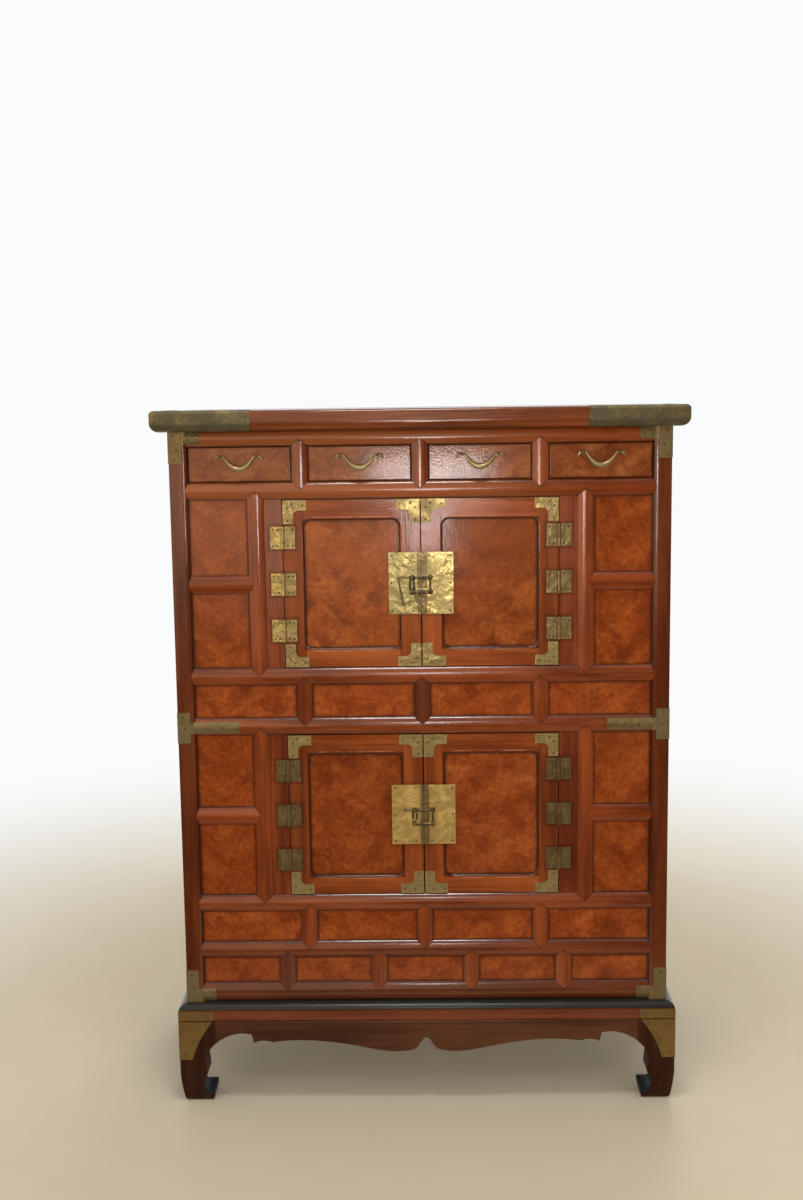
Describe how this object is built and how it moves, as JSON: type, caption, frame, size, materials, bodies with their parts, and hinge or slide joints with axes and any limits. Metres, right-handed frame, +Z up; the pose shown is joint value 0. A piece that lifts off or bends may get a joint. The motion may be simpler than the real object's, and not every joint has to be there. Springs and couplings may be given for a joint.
{
  "type": "cabinet",
  "caption": "Tall two-level cabinet on a low scroll-footed stand, with hinged door pairs, small drawers under the top, burl panels in rounded rails and brass plates.",
  "frame": {"origin": "on the floor, at the middle of the plan", "axes": "+X to the right seen from the front, +Y to the back, +Z up; the doors face -Y"},
  "size_m": [0.87, 0.434, 1.185],
  "materials": {
    "frame_wood": "glossy red-brown lacquer",
    "burl": "glossy lacquered burl veneer",
    "plain_wood": "plain unpolished boards",
    "stand_wood": "dark lacquer",
    "brass": "aged yellow metal"
  },
  "bodies": {
    "carcass": {"corner_posts": "frame_wood", "front_rails": "frame_wood", "row_muntins": "frame_wood", "door_side_posts": "frame_wood", "hinge_strips": "frame_wood", "short_rails": "frame_wood", "side_rails": "frame_wood", "top_slab": "frame_wood", "row_panels": "burl", "side_column_panels": "burl", "side_panels": "burl", "back_rails": "plain_wood", "back_panels": "plain_wood", "bottom_board": "plain_wood", "middle_floor": "plain_wood", "drawer_deck": "plain_wood", "drawer_dividers": "plain_wood", "door_stops": "plain_wood", "stand_frame": "stand_wood", "stand_legs": "stand_wood", "stand_aprons": "stand_wood", "top_slab_caps": "brass", "corner_brass": "brass", "frame_hinge_leaves": "brass", "hinge_pins": "brass", "stand_brass": "brass"},
    "upper_left_door": {"upper_left_door_frame": "frame_wood", "upper_left_door_panel": "burl", "upper_left_door_fittings": "brass", "upper_left_door_lock": "brass"},
    "upper_right_door": {"upper_right_door_frame": "frame_wood", "upper_right_door_panel": "burl", "upper_right_door_fittings": "brass", "upper_right_door_lock": "brass"},
    "upper_bolt": {"upper_lock_bolt": "brass"},
    "lower_left_door": {"lower_left_door_frame": "frame_wood", "lower_left_door_panel": "burl", "lower_left_door_fittings": "brass", "lower_left_door_lock": "brass"},
    "lower_right_door": {"lower_right_door_frame": "frame_wood", "lower_right_door_panel": "burl", "lower_right_door_fittings": "brass", "lower_right_door_lock": "brass"},
    "lower_bolt": {"lower_lock_bolt": "brass"},
    "drawer_1": {"drawer_1_front": "burl", "drawer_1_box": "plain_wood", "drawer_1_pull_posts": "brass"},
    "drawer_1_bail": {"drawer_1_pull": "brass"},
    "drawer_2": {"drawer_2_front": "burl", "drawer_2_box": "plain_wood", "drawer_2_pull_posts": "brass"},
    "drawer_2_bail": {"drawer_2_pull": "brass"},
    "drawer_3": {"drawer_3_front": "burl", "drawer_3_box": "plain_wood", "drawer_3_pull_posts": "brass"},
    "drawer_3_bail": {"drawer_3_pull": "brass"},
    "drawer_4": {"drawer_4_front": "burl", "drawer_4_box": "plain_wood", "drawer_4_pull_posts": "brass"},
    "drawer_4_bail": {"drawer_4_pull": "brass"}
  },
  "joints": [
    {"name": "upper_left_door_hinge", "type": "hinge", "parent": "carcass", "child": "upper_left_door", "pos_m": [-0.2273, -0.1852, 0.8975], "axis": [0, 0, -1], "range_deg": [0, 110]},
    {"name": "upper_right_door_hinge", "type": "hinge", "parent": "carcass", "child": "upper_right_door", "pos_m": [0.2273, -0.1852, 0.8975], "axis": [0, 0, 1], "range_deg": [0, 110]},
    {"name": "upper_bolt_slide", "type": "slide", "parent": "upper_left_door", "child": "upper_bolt", "axis": [1, 0, 0], "range_m": [0, 0.0075]},
    {"name": "lower_left_door_hinge", "type": "hinge", "parent": "carcass", "child": "lower_left_door", "pos_m": [-0.2273, -0.1852, 0.5035], "axis": [0, 0, -1], "range_deg": [0, 110]},
    {"name": "lower_right_door_hinge", "type": "hinge", "parent": "carcass", "child": "lower_right_door", "pos_m": [0.2273, -0.1852, 0.5035], "axis": [0, 0, 1], "range_deg": [0, 110]},
    {"name": "lower_bolt_slide", "type": "slide", "parent": "lower_left_door", "child": "lower_bolt", "axis": [1, 0, 0], "range_m": [0, 0.0075]},
    {"name": "drawer_1_slide", "type": "slide", "parent": "carcass", "child": "drawer_1", "axis": [0, -1, 0], "range_m": [0, 0.24]},
    {"name": "drawer_1_bail_hinge", "type": "hinge", "parent": "drawer_1", "child": "drawer_1_bail", "pos_m": [-0.2955, -0.192, 1.109], "axis": [-1, 0, 0], "range_deg": [-12, 80]},
    {"name": "drawer_2_slide", "type": "slide", "parent": "carcass", "child": "drawer_2", "axis": [0, -1, 0], "range_m": [0, 0.24]},
    {"name": "drawer_2_bail_hinge", "type": "hinge", "parent": "drawer_2", "child": "drawer_2_bail", "pos_m": [-0.0985, -0.192, 1.109], "axis": [-1, 0, 0], "range_deg": [-12, 80]},
    {"name": "drawer_3_slide", "type": "slide", "parent": "carcass", "child": "drawer_3", "axis": [0, -1, 0], "range_m": [0, 0.24]},
    {"name": "drawer_3_bail_hinge", "type": "hinge", "parent": "drawer_3", "child": "drawer_3_bail", "pos_m": [0.0985, -0.192, 1.109], "axis": [-1, 0, 0], "range_deg": [-12, 80]},
    {"name": "drawer_4_slide", "type": "slide", "parent": "carcass", "child": "drawer_4", "axis": [0, -1, 0], "range_m": [0, 0.24]},
    {"name": "drawer_4_bail_hinge", "type": "hinge", "parent": "drawer_4", "child": "drawer_4_bail", "pos_m": [0.2955, -0.192, 1.109], "axis": [-1, 0, 0], "range_deg": [-12, 80]}
  ]
}
